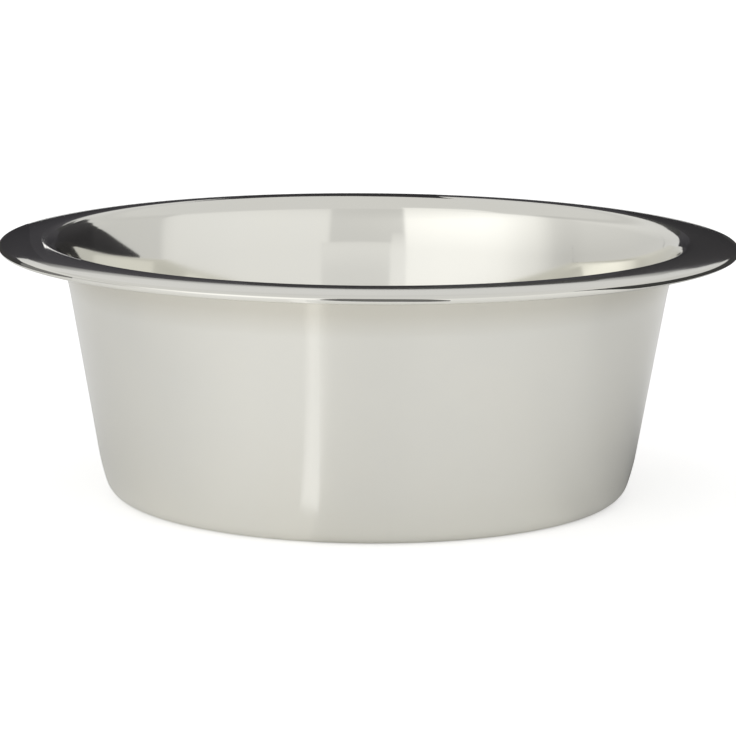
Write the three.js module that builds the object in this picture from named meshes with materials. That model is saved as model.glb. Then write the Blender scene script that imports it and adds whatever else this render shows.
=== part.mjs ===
// Stainless steel pet bowl, pressed in one piece from a single round sheet.
// Millimetres, +Z up. The origin is the middle of the foot, on the surface the bowl stands on.

import * as THREE from 'three';

const degrees = THREE.MathUtils.degToRad;

// Driving dimensions
const rimDiameter = 216;
const height = 76;
const sheet = 0.6;

// Flange: from the crest it falls away outwards in a shallow dome, and its edge rolls under
const flangeWidth = 12;
const flangeFall = degrees(12);
const rollRadius = 1.15;
const rollTuck = degrees(180);

// The top of the side wall flares out, then bends over into the flange. Both are measured on the outside.
const neckRadius = 5.75;
const flareRadius = 60;
const flareTurn = degrees(12);

// Side wall, and the two arcs that carry it into the foot, measured on the outside
const wallLean = degrees(9.8);
const wallEaseRadius = 64;
const wallEaseTurn = degrees(8.5);
const footRadius = 6.5;

// Raised panel in the middle of the base, which leaves a flat ring to stand on
const footRingWidth = 7;
const panelRise = 1.2;
const panelStepRadius = 2;

// Facets
const facetsRound = 72;
const stepsPanel = 2;
const stepsFoot = 5;
const stepsEase = 2;
const stepsFlare = 3;
const stepsNeck = 6;
const stepsDome = 3;
const stepsRollTop = 3;
const stepsRollTuck = 6;

const up = Math.PI / 2;
const down = -Math.PI / 2;

const along = (angle, length) => new THREE.Vector2(Math.cos(angle), Math.sin(angle)).multiplyScalar(length);

// Centres of the arcs at the rim. Each arc meets the next one without a kink.
const rimRadius = rimDiameter / 2;
const crestRadius = rimRadius - flangeWidth;
const domeRadius = rollRadius + (flangeWidth - rollRadius) / Math.sin(flangeFall);
const domeEnd = up - flangeFall;
const domeCentre = new THREE.Vector2(crestRadius, height - domeRadius);
const rollCentre = domeCentre.clone().add(along(domeEnd, domeRadius - rollRadius));
const neckCentre = new THREE.Vector2(crestRadius, height - sheet - neckRadius);
const flareStart = Math.PI - wallLean;
const neckStart = flareStart - flareTurn;
const flareCentre = neckCentre.clone().add(along(neckStart, neckRadius - flareRadius));

// Centres of the arcs at the foot. The wall's line settles how far out they lie.
const wallNormal = along(-wallLean, 1);
const wallOffset = flareCentre.dot(wallNormal) - flareRadius;
const easeStart = -wallLean - wallEaseTurn;
const footToEase = footRadius - wallEaseRadius;
const footCentreRadius = (wallOffset - wallEaseRadius + footRadius * Math.sin(wallLean)
  - footToEase * Math.cos(wallEaseTurn)) / Math.cos(wallLean);
const footCentre = new THREE.Vector2(footCentreRadius, footRadius);
const easeCentre = footCentre.clone().add(along(easeStart, footToEase));

// The step round the raised panel is an S of two equal turns.
const stepOuterRadius = panelStepRadius + sheet;
const stepTurn = Math.acos(1 - panelRise / (panelStepRadius + stepOuterRadius));
const stepWidth = (panelStepRadius + stepOuterRadius) * Math.sin(stepTurn);
const ringInnerRadius = footCentreRadius - footRingWidth;
const stepOuterCentre = new THREE.Vector2(ringInnerRadius, stepOuterRadius);
const stepInnerCentre = new THREE.Vector2(ringInnerRadius - stepWidth, panelRise - panelStepRadius);

function arc(centre, radius, from, to, steps) {
  const points = [];
  for (let i = 0; i <= steps; i += 1) {
    const angle = THREE.MathUtils.lerp(from, to, i / steps);
    points.push(centre.clone().add(along(angle, radius)));
  }
  return points;
}

// One face of the sheet, from the middle of the base to the tip of the roll.
// depth is 0 on the underside and the sheet's thickness on the upper side.
function sheetFace(depth) {
  return [
    new THREE.Vector2(0, panelRise + depth),
    ...arc(stepInnerCentre, panelStepRadius + depth, up, up - stepTurn, stepsPanel),
    ...arc(stepOuterCentre, stepOuterRadius - depth, down - stepTurn, down, stepsPanel).slice(1),
    ...arc(footCentre, footRadius - depth, down, easeStart, stepsFoot),
    ...arc(easeCentre, wallEaseRadius - depth, easeStart, -wallLean, stepsEase).slice(1),
    ...arc(flareCentre, flareRadius + depth, flareStart, neckStart, stepsFlare),
    ...arc(neckCentre, neckRadius + depth, neckStart, up, stepsNeck).slice(1),
    ...arc(domeCentre, domeRadius - sheet + depth, up, domeEnd, stepsDome).slice(1),
    ...arc(rollCentre, rollRadius - sheet + depth, domeEnd, 0, stepsRollTop).slice(1),
    ...arc(rollCentre, rollRadius - sheet + depth, 0, -rollTuck, stepsRollTuck).slice(1),
  ];
}

function bowlGeometry() {
  const underside = sheetFace(0);
  const upperSide = sheetFace(sheet).reverse();
  const geometry = new THREE.LatheGeometry([...underside, ...upperSide], facetsRound);
  geometry.rotateX(Math.PI / 2);
  return geometry;
}

const stainlessSteel = new THREE.MeshStandardMaterial({
  color: 0xc9c7c0,
  roughness: 0.25,
  metalness: 1,
});

const bowl = new THREE.Mesh(bowlGeometry(), stainlessSteel);
bowl.name = 'bowl';

const petBowl = new THREE.Group();
petBowl.add(bowl);

export default petBowl;
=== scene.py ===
"""Stainless steel pet bowl on a pale studio floor."""

import math

import bmesh
import bpy
from mathutils import Matrix, Vector


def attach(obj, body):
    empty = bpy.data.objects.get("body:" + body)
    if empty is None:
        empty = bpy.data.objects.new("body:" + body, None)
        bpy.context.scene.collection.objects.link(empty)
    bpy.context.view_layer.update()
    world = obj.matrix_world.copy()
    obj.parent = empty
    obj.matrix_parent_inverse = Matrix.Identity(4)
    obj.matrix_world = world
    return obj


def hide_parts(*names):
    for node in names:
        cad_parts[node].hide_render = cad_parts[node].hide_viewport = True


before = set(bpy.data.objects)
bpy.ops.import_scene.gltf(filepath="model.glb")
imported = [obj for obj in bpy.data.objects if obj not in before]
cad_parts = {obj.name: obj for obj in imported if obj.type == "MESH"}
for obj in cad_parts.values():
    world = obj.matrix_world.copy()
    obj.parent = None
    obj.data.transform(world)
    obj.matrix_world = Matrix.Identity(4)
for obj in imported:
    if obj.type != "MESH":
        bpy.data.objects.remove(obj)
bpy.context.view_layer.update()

# The bowl
# One round blank of stainless steel sheet, drawn into a leaning wall over a flat foot, with a domed
# flange that ends in a rolled edge. The inside, the flange and the roll are polished, and the outside
# keeps the satin of a belt that ran round it.

millimetre = 0.001
rim_radius = 108 * millimetre
height = 76 * millimetre
sheet = 0.6 * millimetre

flange_width = 12 * millimetre
flange_fall = math.radians(12)
roll_radius = 1.15 * millimetre
roll_tuck = math.radians(180)
neck_radius = 5.75 * millimetre
flare_radius = 60 * millimetre
flare_turn = math.radians(12)
wall_lean = math.radians(9.8)
ease_radius = 64 * millimetre
ease_turn = math.radians(8.5)
foot_radius = 6.5 * millimetre
foot_ring_width = 7 * millimetre
panel_rise = 1.2 * millimetre
panel_step_radius = 2 * millimetre


def polar(angle, length):
    """A point of the profile plane, from its angle above +X and its distance."""
    return Vector((math.cos(angle), 0, math.sin(angle))) * length


upward = math.pi / 2
crest_radius = rim_radius - flange_width
dome_radius = roll_radius + (flange_width - roll_radius) / math.sin(flange_fall)
dome_centre = Vector((crest_radius, 0, height - dome_radius))
roll_centre = dome_centre + polar(upward - flange_fall, dome_radius - roll_radius)
neck_centre = Vector((crest_radius, 0, height - sheet - neck_radius))
flare_start = math.pi - wall_lean
neck_start = flare_start - flare_turn
flare_centre = neck_centre + polar(neck_start, neck_radius - flare_radius)
wall_offset = flare_centre.dot(polar(-wall_lean, 1)) - flare_radius
foot_to_ease = foot_radius - ease_radius
foot_centre_radius = (
    wall_offset - ease_radius + foot_radius * math.sin(wall_lean) - foot_to_ease * math.cos(ease_turn)
) / math.cos(wall_lean)
foot_centre = Vector((foot_centre_radius, 0, foot_radius))
ease_centre = foot_centre + polar(-wall_lean - ease_turn, foot_to_ease)
ring_inner_radius = foot_centre_radius - foot_ring_width
step_outer_radius = panel_step_radius + sheet
step_turn = math.acos(1 - panel_rise / (panel_step_radius + step_outer_radius))
step_width = (panel_step_radius + step_outer_radius) * math.sin(step_turn)
step_inner_centre = Vector((ring_inner_radius - step_width, 0, panel_rise - panel_step_radius))
step_outer_centre = Vector((ring_inner_radius, 0, step_outer_radius))

bowl_mesh = bmesh.new()


def run_straight(start, end, steps):
    """Extrudes the profile's last vertex to end, in equal steps."""
    first = start.co.copy()
    for step in range(1, steps + 1):
        start = bmesh.ops.extrude_vert_indiv(bowl_mesh, verts=[start])["verts"][0]
        start.co = first.lerp(end, step / steps)
    return start


def run_round(start, centre, turn, steps):
    """Spins the profile's last vertex about centre. A positive turn goes from +X up to +Z."""
    made = bmesh.ops.spin(
        bowl_mesh, geom=[start], cent=centre, axis=(0, -1, 0), angle=turn, steps=steps, use_merge=False
    )
    return [piece for piece in made["geom_last"] if isinstance(piece, bmesh.types.BMVert)][0]


# The upper side of the sheet, from the middle of the base to the tip of the roll
pen = bowl_mesh.verts.new((0, 0, panel_rise + sheet))
pen = run_straight(pen, Vector((step_inner_centre.x, 0, panel_rise + sheet)), steps=6)
pen = run_round(pen, step_inner_centre, -step_turn, steps=6)
pen = run_round(pen, step_outer_centre, step_turn, steps=6)
pen = run_straight(pen, Vector((foot_centre_radius, 0, sheet)), steps=2)
pen = run_round(pen, foot_centre, math.pi / 2 - wall_lean - ease_turn, steps=14)
pen = run_round(pen, ease_centre, ease_turn, steps=8)
pen = run_straight(pen, flare_centre + polar(flare_start, flare_radius + sheet), steps=6)
pen = run_round(pen, flare_centre, -flare_turn, steps=8)
pen = run_round(pen, neck_centre, upward - neck_start, steps=24)
pen = run_round(pen, dome_centre, -flange_fall, steps=10)
pen = run_round(pen, roll_centre, flange_fall - upward, steps=10)
pen = run_round(pen, roll_centre, -roll_tuck, steps=18)

# One full turn makes the skin, and the sheet's thickness is laid under it
steps_round = 320
weld_distance = 0.001 * millimetre
bmesh.ops.spin(
    bowl_mesh,
    geom=bowl_mesh.verts[:] + bowl_mesh.edges[:],
    cent=(0, 0, 0),
    axis=(0, 0, 1),
    angle=2 * math.pi,
    steps=steps_round,
    use_merge=True,
)
bmesh.ops.remove_doubles(bowl_mesh, verts=bowl_mesh.verts, dist=weld_distance)
bmesh.ops.recalc_face_normals(bowl_mesh, faces=bowl_mesh.faces)
lowest = min(bowl_mesh.faces, key=lambda face: face.calc_center_median().z)
if lowest.normal.z < 0:
    bmesh.ops.reverse_faces(bowl_mesh, faces=bowl_mesh.faces)
upper_faces = bowl_mesh.faces[:]
bmesh.ops.solidify(bowl_mesh, geom=upper_faces, thickness=sheet)

bowl_data = bpy.data.meshes.new("bowl_shell")
satin_slot, polished_slot = 0, 1
for face in bowl_mesh.faces:
    face.smooth = True
    face.material_index = satin_slot
for face in upper_faces:
    face.material_index = polished_slot
bowl_mesh.to_mesh(bowl_data)
bowl_mesh.free()
bowl = bpy.data.objects.new("bowl_shell", bowl_data)
bpy.context.scene.collection.objects.link(bowl)


def place(tree, kind, inputs=None, **settings):
    """Adds a node, sets its options, and fills its inputs with values or with other nodes' outputs."""
    node = tree.nodes.new(kind)
    for option, value in settings.items():
        setattr(node, option, value)
    for socket, value in (inputs or {}).items():
        if isinstance(value, bpy.types.NodeSocket):
            tree.links.new(value, node.inputs[socket])
        else:
            node.inputs[socket].default_value = value
    return node


def new_group(name, inputs, outputs):
    """A shader node group with the named inputs and outputs. Inputs are (name, kind, value)."""
    group = bpy.data.node_groups.new(name, "ShaderNodeTree")
    for label, kind, value in inputs:
        socket = group.interface.new_socket(label, in_out="INPUT", socket_type=kind)
        if value is not None:
            socket.default_value = value
    for label, kind in outputs:
        group.interface.new_socket(label, in_out="OUTPUT", socket_type=kind)
    return group, group.nodes.new("NodeGroupInput").outputs, group.nodes.new("NodeGroupOutput").inputs


# Lines that run round the bowl, left by the polishing wheel and the belt
ring_lines, given, wanted = new_group(
    "ring_lines",
    [
        ("Position", "NodeSocketVector", None),
        ("Across", "NodeSocketFloat", 3000),
        ("Along", "NodeSocketFloat", 8),
    ],
    [("Height", "NodeSocketFloat")],
)
flat_position = place(
    ring_lines, "ShaderNodeVectorMath", {0: given["Position"], 1: (1, 1, 0)}, operation="MULTIPLY"
)
spoke = place(ring_lines, "ShaderNodeVectorMath", {0: flat_position.outputs[0]}, operation="NORMALIZE")
radius = place(ring_lines, "ShaderNodeVectorMath", {0: flat_position.outputs[0]}, operation="LENGTH")
axes = place(ring_lines, "ShaderNodeSeparateXYZ", {0: given["Position"]})
run = place(ring_lines, "ShaderNodeMath", {0: radius.outputs["Value"], 1: axes.outputs["Z"]}, operation="ADD")
across = place(ring_lines, "ShaderNodeMath", {0: run.outputs[0], 1: given["Across"]}, operation="MULTIPLY")
along = place(
    ring_lines, "ShaderNodeVectorMath", {0: spoke.outputs[0], "Scale": given["Along"]}, operation="SCALE"
)
lift = place(ring_lines, "ShaderNodeCombineXYZ", {"Z": across.outputs[0]})
lines_at = place(
    ring_lines, "ShaderNodeVectorMath", {0: along.outputs[0], 1: lift.outputs[0]}, operation="ADD"
)
lines = place(
    ring_lines,
    "ShaderNodeTexNoise",
    {"Vector": lines_at.outputs[0], "Scale": 1.0, "Detail": 2.0, "Roughness": 0.5},
)
ring_lines.links.new(lines.outputs["Fac"], wanted["Height"])

# Slow changes over the sheet: the slight waves of the press, and the patches that hands and cloths leave
sheet_patches, given, wanted = new_group(
    "sheet_patches",
    [("Position", "NodeSocketVector", None), ("Size", "NodeSocketFloat", 30)],
    [("Waves", "NodeSocketFloat"), ("Patches", "NodeSocketFloat")],
)
waves = place(
    sheet_patches, "ShaderNodeTexNoise", {"Vector": given["Position"], "Scale": given["Size"], "Detail": 0.0}
)
patches = place(
    sheet_patches,
    "ShaderNodeTexNoise",
    {"Vector": given["Position"], "Scale": given["Size"], "Detail": 3.0, "Roughness": 0.5},
)
sheet_patches.links.new(waves.outputs["Fac"], wanted["Waves"])
sheet_patches.links.new(patches.outputs["Fac"], wanted["Patches"])

# Painted shade: the outside wall is darkened and warmed in a band just under the flange, where the flange
# shades it
painted_flange_shade, given, wanted = new_group(
    "painted_flange_shade",
    [("Position", "NodeSocketVector", None), ("Color", "NodeSocketColor", None)],
    [("Color", "NodeSocketColor")],
)
band_starts = height - 16 * millimetre
band_full = height - 9 * millimetre
painted_shade_tint = (0.88, 0.865, 0.83, 1)
axes = place(painted_flange_shade, "ShaderNodeSeparateXYZ", {0: given["Position"]})
in_band = place(
    painted_flange_shade,
    "ShaderNodeMapRange",
    {"Value": axes.outputs["Z"], "From Min": band_starts, "From Max": band_full},
)
darker = place(
    painted_flange_shade,
    "ShaderNodeMix",
    {0: 1.0, 6: given["Color"], 7: painted_shade_tint},
    data_type="RGBA",
    blend_type="MULTIPLY",
)
banded = place(
    painted_flange_shade,
    "ShaderNodeMix",
    {0: in_band.outputs[0], 6: given["Color"], 7: darker.outputs[2]},
    data_type="RGBA",
)
painted_flange_shade.links.new(banded.outputs[2], wanted["Color"])

steel_warm = (0.85, 0.835, 0.765, 1)
steel_cool = (0.83, 0.825, 0.775, 1)


def steel(name, line_spacing, line_depth, wave_depth, roughness_low, roughness_high, anisotropy, has_painted_shade):
    """One finish of the sheet. Lengths are in metres."""
    material = bpy.data.materials.new(name)
    material.use_nodes = True
    tree = material.node_tree
    tree.nodes.clear()
    position = place(tree, "ShaderNodeTexCoord").outputs["Object"]
    lines = place(tree, "ShaderNodeGroup", node_tree=ring_lines)
    tree.links.new(position, lines.inputs["Position"])
    lines.inputs["Across"].default_value = 1 / line_spacing
    patches = place(tree, "ShaderNodeGroup", node_tree=sheet_patches)
    tree.links.new(position, patches.inputs["Position"])
    tone = place(
        tree, "ShaderNodeMix", {0: patches.outputs["Patches"], 6: steel_warm, 7: steel_cool}, data_type="RGBA"
    )
    colour = tone.outputs[2]
    # Painted shade under the flange, on the outside finish only
    if has_painted_shade:
        band = place(tree, "ShaderNodeGroup", node_tree=painted_flange_shade)
        tree.links.new(position, band.inputs["Position"])
        tree.links.new(colour, band.inputs["Color"])
        colour = band.outputs["Color"]
    roughness = place(
        tree,
        "ShaderNodeMapRange",
        {
            "Value": patches.outputs["Patches"],
            "From Min": 0.3,
            "From Max": 0.7,
            "To Min": roughness_low,
            "To Max": roughness_high,
        },
    )
    waved = place(
        tree, "ShaderNodeBump", {"Height": patches.outputs["Waves"], "Distance": wave_depth, "Strength": 1.0}
    )
    lined = place(
        tree,
        "ShaderNodeBump",
        {
            "Height": lines.outputs["Height"],
            "Distance": line_depth,
            "Strength": 1.0,
            "Normal": waved.outputs[0],
        },
    )
    surface = place(
        tree,
        "ShaderNodeBsdfPrincipled",
        {
            "Base Color": colour,
            "Metallic": 1.0,
            "Roughness": roughness.outputs[0],
            "Anisotropic": anisotropy,
            "Anisotropic Rotation": 0.25,
            "Normal": lined.outputs[0],
        },
    )
    output = place(tree, "ShaderNodeOutputMaterial")
    tree.links.new(surface.outputs[0], output.inputs["Surface"])
    return material


satin_steel = steel(
    "satin_steel",
    line_spacing=0.8 * millimetre,
    line_depth=0.0004 * millimetre,
    wave_depth=0.01 * millimetre,
    roughness_low=0.21,
    roughness_high=0.25,
    anisotropy=0.95,
    has_painted_shade=True,
)
polished_steel = steel(
    "polished_steel",
    line_spacing=0.6 * millimetre,
    line_depth=0.0002 * millimetre,
    wave_depth=0.02 * millimetre,
    roughness_low=0.05,
    roughness_high=0.10,
    anisotropy=0.0,
    has_painted_shade=False,
)
bowl_data.materials.append(satin_steel)
bowl_data.materials.append(polished_steel)
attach(bowl, "root")
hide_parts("bowl")

# The floor
# A wide white table top that runs on far behind the bowl, so that it fills the picture.

floor_reach = 12
table_white = (0.93, 0.93, 0.93, 1)
lift_to_white = 0.47
shade_starts = 90 * millimetre
shade_falling = 2.5

floor_mesh = bmesh.new()
bmesh.ops.create_grid(floor_mesh, x_segments=1, y_segments=1, size=floor_reach)
floor_data = bpy.data.meshes.new("floor")
floor_mesh.to_mesh(floor_data)
floor_mesh.free()
floor = bpy.data.objects.new("floor", floor_data)
bpy.context.scene.collection.objects.link(floor)


def compass(tree, place_or_way, stops):
    """A tone by compass angle in degrees: 0 is behind the bowl, and a positive angle is to the right."""
    axes = place(tree, "ShaderNodeSeparateXYZ", {0: place_or_way})
    angle = place(tree, "ShaderNodeMath", {0: axes.outputs["X"], 1: axes.outputs["Y"]}, operation="ARCTAN2")
    turn = place(
        tree, "ShaderNodeMapRange", {"Value": angle.outputs[0], "From Min": -math.pi, "From Max": math.pi}
    )
    ramp = place(tree, "ShaderNodeValToRGB", {0: turn.outputs[0]})
    points = ramp.color_ramp.elements
    for number, (degrees, level) in enumerate(stops):
        point = points[number] if number < 2 else points.new(1)
        point.position = (degrees + 180) / 360
        point.color = (level, level, level, 1)
    return ramp.outputs["Color"]


floor_paint = bpy.data.materials.new("white_table")
floor_paint.use_nodes = True
tree = floor_paint.node_tree
tree.nodes.clear()
path = place(tree, "ShaderNodeLightPath")
seen = place(
    tree,
    "ShaderNodeMath",
    {0: path.outputs["Is Camera Ray"], 1: path.outputs["Is Transmission Ray"]},
    operation="ADD",
)
place_on_floor = place(tree, "ShaderNodeTexCoord").outputs["Object"]

# What the steel sees of the table: a painted sheen in front, which stands in for the lamp's light there, and
# a painted shadow on the shaded side at the back right
sheen = compass(
    tree,
    place_on_floor,
    [(-180, 0.105), (-168.5, 0.11), (-167.5, 0.165), (-160, 0.165), (-144, 0.17), (-127, 0.14),
     (-108, 0.09), (-90, 0.04), (-70, 0), (75, 0), (92, 0.01), (104, 0.075), (125, 0.095),
     (150, 0.115), (164, 0.115), (180, 0.105)],
)
shaded_side = compass(
    tree,
    place_on_floor,
    [(-180, 0), (30, 0), (55, 0.8), (66, 0.75), (78, 0.5), (90, 0.3), (104, 0.26), (113, 0.17),
     (122, 0.13), (132, 0.03), (140, 0), (180, 0)],
)
reach = place(tree, "ShaderNodeVectorMath", {0: place_on_floor}, operation="LENGTH")
nearness = place(tree, "ShaderNodeMath", {0: shade_starts, 1: reach.outputs["Value"]}, operation="DIVIDE")
falling = place(tree, "ShaderNodeMath", {0: nearness.outputs[0], 1: shade_falling}, operation="POWER")
shade = place(tree, "ShaderNodeMath", {0: shaded_side, 1: falling.outputs[0]}, operation="MULTIPLY")
shade_in_steel = place(
    tree,
    "ShaderNodeMath",
    {0: shade.outputs[0], 1: path.outputs["Is Glossy Ray"]},
    operation="MULTIPLY",
    use_clamp=True,
)
# Painted shadow: for glossy rays the table turns darker on its back right side near the bowl
table_tone = place(
    tree,
    "ShaderNodeMix",
    {0: shade_in_steel.outputs[0], 6: table_white, 7: (0, 0, 0, 1)},
    data_type="RGBA",
)
# Painted sheen: a glow on the table that only glossy rays see, added to the even lift to white for the camera
to_camera = place(tree, "ShaderNodeMath", {0: seen.outputs[0], 1: lift_to_white}, operation="MULTIPLY")
to_steel = place(tree, "ShaderNodeMath", {0: path.outputs["Is Glossy Ray"], 1: sheen}, operation="MULTIPLY")
level = place(tree, "ShaderNodeMath", {0: to_camera.outputs[0], 1: to_steel.outputs[0]}, operation="ADD")
matt = place(tree, "ShaderNodeBsdfDiffuse", {"Color": table_tone.outputs[2]})
glow = place(tree, "ShaderNodeEmission", {"Color": (1, 1, 1, 1), "Strength": level.outputs[0]})
both = place(tree, "ShaderNodeAddShader", {0: matt.outputs[0], 1: glow.outputs[0]})
output = place(tree, "ShaderNodeOutputMaterial")
tree.links.new(both.outputs[0], output.inputs["Surface"])
floor_data.materials.append(floor_paint)

# The studio
# A pale room that is brightest in front on the left, where a large soft lamp stands. A dark curtain
# behind the bowl and the shade round the camera give the polished steel something to show.

ceiling = (0.72, 0.72, 0.72, 1)
lamp_extra_height = 0.13

world = bpy.data.worlds.new("pale_room")
world.use_nodes = True
bpy.context.scene.world = world
tree = world.node_tree
background = tree.nodes["Background"]
way = place(tree, "ShaderNodeTexCoord").outputs["Generated"]
around = compass(
    tree,
    way,
    [(-180, 0.67), (-165.2, 0.68), (-164.6, 1.05), (-150, 1.07), (-132, 1.07), (-124, 1.03),
     (-116, 0.93), (-108, 0.84), (-103, 0.74), (-99, 0.65), (-94, 0.61), (-89, 0.61), (-82, 0.64),
     (-70, 0.65), (-20, 0.67), (60, 0.645), (87, 0.66), (90.5, 0.79), (96, 0.83), (107, 0.84),
     (125, 0.86), (163, 0.865), (164.5, 0.68), (180, 0.67)],
)
heights = place(tree, "ShaderNodeSeparateXYZ", {0: way})

# The walls end at the ceiling's grey, except that the lamp reaches higher
lamp = place(
    tree,
    "ShaderNodeMapRange",
    {"Value": around, "From Min": 0.98, "From Max": 1.06, "To Max": lamp_extra_height},
)
above = place(tree, "ShaderNodeMath", {0: heights.outputs["Z"], 1: lamp.outputs[0]}, operation="SUBTRACT")
overhead = place(tree, "ShaderNodeMapRange", {"Value": above.outputs[0], "From Min": 0.56, "From Max": 0.66})

# The walls grow brighter towards their top, most of all at the left, and fade again near the ceiling
growth = place(
    tree,
    "ShaderNodeMapRange",
    {"Value": heights.outputs["X"], "From Min": -1, "From Max": 0.3, "To Min": 0.24, "To Max": 0.03},
)
higher = place(
    tree, "ShaderNodeMapRange", {"Value": heights.outputs["Z"], "From Min": 0.16, "From Max": 0.45}
)
top_fade = place(
    tree,
    "ShaderNodeMapRange",
    {"Value": heights.outputs["Z"], "From Min": 0.49, "From Max": 0.6, "To Min": 1, "To Max": -0.5},
)
rise = place(tree, "ShaderNodeMath", {0: higher.outputs[0], 1: top_fade.outputs[0]}, operation="MULTIPLY")
brighter = place(
    tree,
    "ShaderNodeMath",
    {0: growth.outputs[0], 1: rise.outputs[0], 2: 1.0},
    operation="MULTIPLY_ADD",
)
walls = place(tree, "ShaderNodeVectorMath", {0: around, "Scale": brighter.outputs[0]}, operation="SCALE")
room = place(
    tree, "ShaderNodeMix", {0: overhead.outputs[0], 6: walls.outputs[0], 7: ceiling}, data_type="RGBA"
)
tree.links.new(room.outputs[2], background.inputs["Color"])


def at(azimuth, elevation, distance):
    """A point by its compass angle, its height angle from the rim and its distance."""
    a, e = math.radians(azimuth), math.radians(elevation)
    return (distance * math.sin(a), distance * math.cos(a), height + distance * math.tan(e))


def board(name, corners, low, high, colour=(1, 1, 1, 1), one_sided=False):
    """A board seen only in reflections. Its tone runs from low at its bottom edge to high at its top.

    Corners are its bottom edge, and then its top edge backwards.
    """
    mesh = bmesh.new()
    count = len(corners) // 2
    points = [mesh.verts.new(corner) for corner in corners]
    for number in range(count - 1):
        mesh.faces.new([points[number], points[number + 1], points[-number - 2], points[-number - 1]])
    bottom, top = min(point.co.z for point in points), max(point.co.z for point in points)
    data = bpy.data.meshes.new(name)
    mesh.to_mesh(data)
    mesh.free()
    made = bpy.data.objects.new(name, data)
    bpy.context.scene.collection.objects.link(made)
    paint = bpy.data.materials.new(name)
    paint.use_nodes = True
    tree = paint.node_tree
    tree.nodes.clear()
    axes = place(tree, "ShaderNodeSeparateXYZ", {0: place(tree, "ShaderNodeTexCoord").outputs["Object"]})
    tone = place(
        tree,
        "ShaderNodeMapRange",
        {"Value": axes.outputs["Z"], "From Min": bottom, "From Max": top, "To Min": low, "To Max": high},
    )
    surface = place(tree, "ShaderNodeEmission", {"Color": colour, "Strength": tone.outputs[0]})
    if one_sided:
        from_behind = place(tree, "ShaderNodeNewGeometry").outputs["Backfacing"]
        clear = place(tree, "ShaderNodeBsdfTransparent")
        surface = place(
            tree, "ShaderNodeMixShader", {0: from_behind, 1: surface.outputs[0], 2: clear.outputs[0]}
        )
    output = place(tree, "ShaderNodeOutputMaterial")
    tree.links.new(surface.outputs[0], output.inputs["Surface"])
    data.materials.append(paint)
    made.visible_camera = False
    made.visible_shadow = False
    made.visible_diffuse = False


# The dark curtain far behind the bowl, in compass and height angles, with a soft hem and a rail before it
curtain_reach = 6
hem_reach = 5.8
curtain_black = (0.93, 0.9, 1.0, 1)
near_black = (0.96, 0.93, 1.0, 1)
curtain_top = [(-10.5, 16), (-9.5, 17.3), (-8, 18.2), (-5, 18.7), (5, 18.7), (8, 18.2), (9.5, 17.3),
               (10.4, 16.7), (11.1, 15.4), (12.5, 14.3), (15, 14)]
curtain_bottom = [at(azimuth, -0.7, curtain_reach) for azimuth, elevation in curtain_top]
board(
    "dark_curtain",
    curtain_bottom + [at(azimuth, elevation, curtain_reach) for azimuth, elevation in reversed(curtain_top)],
    low=0.03,
    high=0.085,
    colour=curtain_black,
)
hem = curtain_top[:7]
board(
    "curtain_hem",
    [at(azimuth, elevation - 1.2, hem_reach) for azimuth, elevation in hem]
    + [at(azimuth, elevation + 2.2, hem_reach) for azimuth, elevation in reversed(hem)],
    low=0.06,
    high=0.66,
)
board(
    "curtain_rail",
    [(-0.034, 0.6, 0.235), (0.028, 0.6, 0.235), (0.13, 0.6, 0.235),
     (0.13, 0.6, 0.31), (0.028, 0.6, 0.318), (-0.034, 0.6, 0.305)],
    low=0.05,
    high=0.08,
)

# Curtains closer by, which darken the flange's right end and the left end of the inside
near_row = 0.2
near_bottom = 0.0745
near_top = [(0.09, 0.159), (0.136, 0.141), (0.166, 0.141), (0.52, 0.143), (0.56, 0.11)]
board(
    "near_curtain",
    [(x, near_row, near_bottom) for x, z in near_top] + [(x, near_row, z) for x, z in reversed(near_top)],
    low=0.028,
    high=0.06,
    colour=near_black,
)
board(
    "slanted_curtain",
    [(-0.047, 0.254, 0.0745), (-0.03, 0.223, 0.0745), (0.001, 0.171, 0.0745), (0.022, 0.133, 0.0745),
     (0.022, 0.133, 0.1255), (0.001, 0.171, 0.159), (-0.03, 0.223, 0.18), (-0.047, 0.254, 0.182)],
    low=0.028,
    high=0.06,
    colour=near_black,
    one_sided=True,
)
wing_row = 0.06
wing_bottom = 0.07
wing_top = [(-0.106, 0.103), (-0.118, 0.103), (-0.127, 0.108), (-0.15, 0.118), (-0.178, 0.12), (-0.23, 0.135)]
board(
    "left_wing",
    [(x, wing_row, wing_bottom) for x, z in wing_top] + [(x, wing_row, z) for x, z in reversed(wing_top)],
    low=0.03,
    high=0.085,
    colour=curtain_black,
)

# Shades round the camera, with a brighter gap above them and at their left end
shade_reach = 1.5
gap_end_reach = 1.45
board(
    "camera_shade",
    [at(160, 8, shade_reach), at(-166, 8, shade_reach), at(-166, 11.1, shade_reach),
     at(160, 11.1, shade_reach)],
    low=0.75,
    high=0.75,
)
board(
    "bright_gap",
    [at(160, 11.1, shade_reach), at(-166, 11.1, shade_reach), at(-166, 15.5, shade_reach),
     at(160, 15.5, shade_reach)],
    low=0.84,
    high=0.8,
)
board(
    "gap_end",
    [at(-171.5, 7, gap_end_reach), at(-164.8, 7, gap_end_reach), at(-164.8, 22, gap_end_reach),
     at(-170, 22, gap_end_reach)],
    low=0.98,
    high=0.78,
)

# A light slit that draws a thin arc round the left neck, and a light streak on the table before the bowl
board(
    "bright_slit",
    [(-0.097, 0.02, 0.0811), (-0.085, 0.02, 0.0798), (-0.085, 0.02, 0.0817), (-0.097, 0.02, 0.0832)],
    low=1.1,
    high=1.1,
    one_sided=True,
)
above_table = 1 * millimetre
board(
    "floor_streak",
    [(-0.0265, -0.09, above_table), (-0.0185, -0.09, above_table), (-0.3, -1, above_table),
     (-0.36, -1, above_table)],
    low=0.97,
    high=0.97,
)
flag_ring = 111.5 * millimetre


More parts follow.
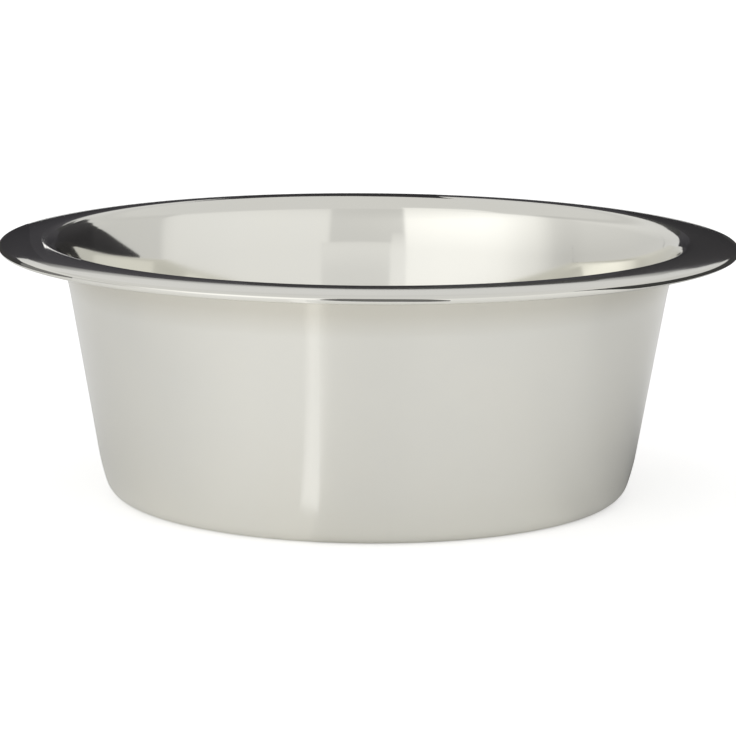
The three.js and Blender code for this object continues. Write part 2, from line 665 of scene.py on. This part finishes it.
def rim_flag(name, stops, tone):
    """A dark flag close round the rolled edge. A stop is a compass angle, and its ends in millimetres."""
    low = [at(angle, 0, flag_ring)[:2] + (bottom * millimetre,) for angle, bottom, top in stops]
    high = [at(angle, 0, flag_ring)[:2] + (top * millimetre,) for angle, bottom, top in stops]
    board(name, low + high[::-1], tone, tone)


rim_flag(
    "right_flag",
    [(74, 66, 76.3), (90, 63, 77.4), (98, 62.5, 77.8), (103, 62, 77.9), (106.5, 62, 77.2), (110, 62, 75.8),
     (118, 62, 75.4), (123, 63, 75.4), (129, 65, 75.6), (135, 69, 77.2), (142, 75, 80), (147, 79.2, 80.6)],
    0.05,
)
rim_flag(
    "left_flag",
    [(-78, 70.5, 76.4), (-90, 69.5, 77.5), (-98, 69.3, 77.8), (-104, 69.3, 77.9), (-108, 69.3, 77.8),
     (-111, 69.5, 77.4)],
    0.05,
)
rim_flag("left_flag_end", [(-111, 69.5, 77.4), (-118, 70.5, 76.8), (-124, 71.5, 76), (-129, 73, 75)], 0.2)
rim_flag(
    "front_flag",
    [(168, 72, 73.5), (171, 71.5, 76.5), (175, 72.2, 78.5), (180, 72.4, 79), (184, 72.8, 78.5),
     (187, 74, 75)],
    0.16,
)

# Camera
# It looks down on the rim by ten degrees from a metre away, through a long lens, and leans a little.

lens_length = 179.27
film_width = 36
camera_pitch = math.radians(10.016)
camera_lean = math.radians(0.4)
camera_distance = 10 * rim_radius
aim_drop = 0.3420 * rim_radius

camera_data = bpy.data.cameras.new("camera")
camera_data.lens = lens_length
camera_data.sensor_width = film_width
camera = bpy.data.objects.new("camera", camera_data)
bpy.context.scene.collection.objects.link(camera)
bpy.context.scene.camera = camera
aim = Vector((0, 0, roll_centre.z - aim_drop))
camera_place = aim + camera_distance * Vector((0, -math.cos(camera_pitch), math.sin(camera_pitch)))
look = (aim - camera_place).to_track_quat("-Z", "Y").to_matrix().to_4x4()
camera.matrix_world = Matrix.Translation(camera_place) @ look @ Matrix.Rotation(camera_lean, 4, "Z")

bpy.context.scene.view_settings.view_transform = "Standard"
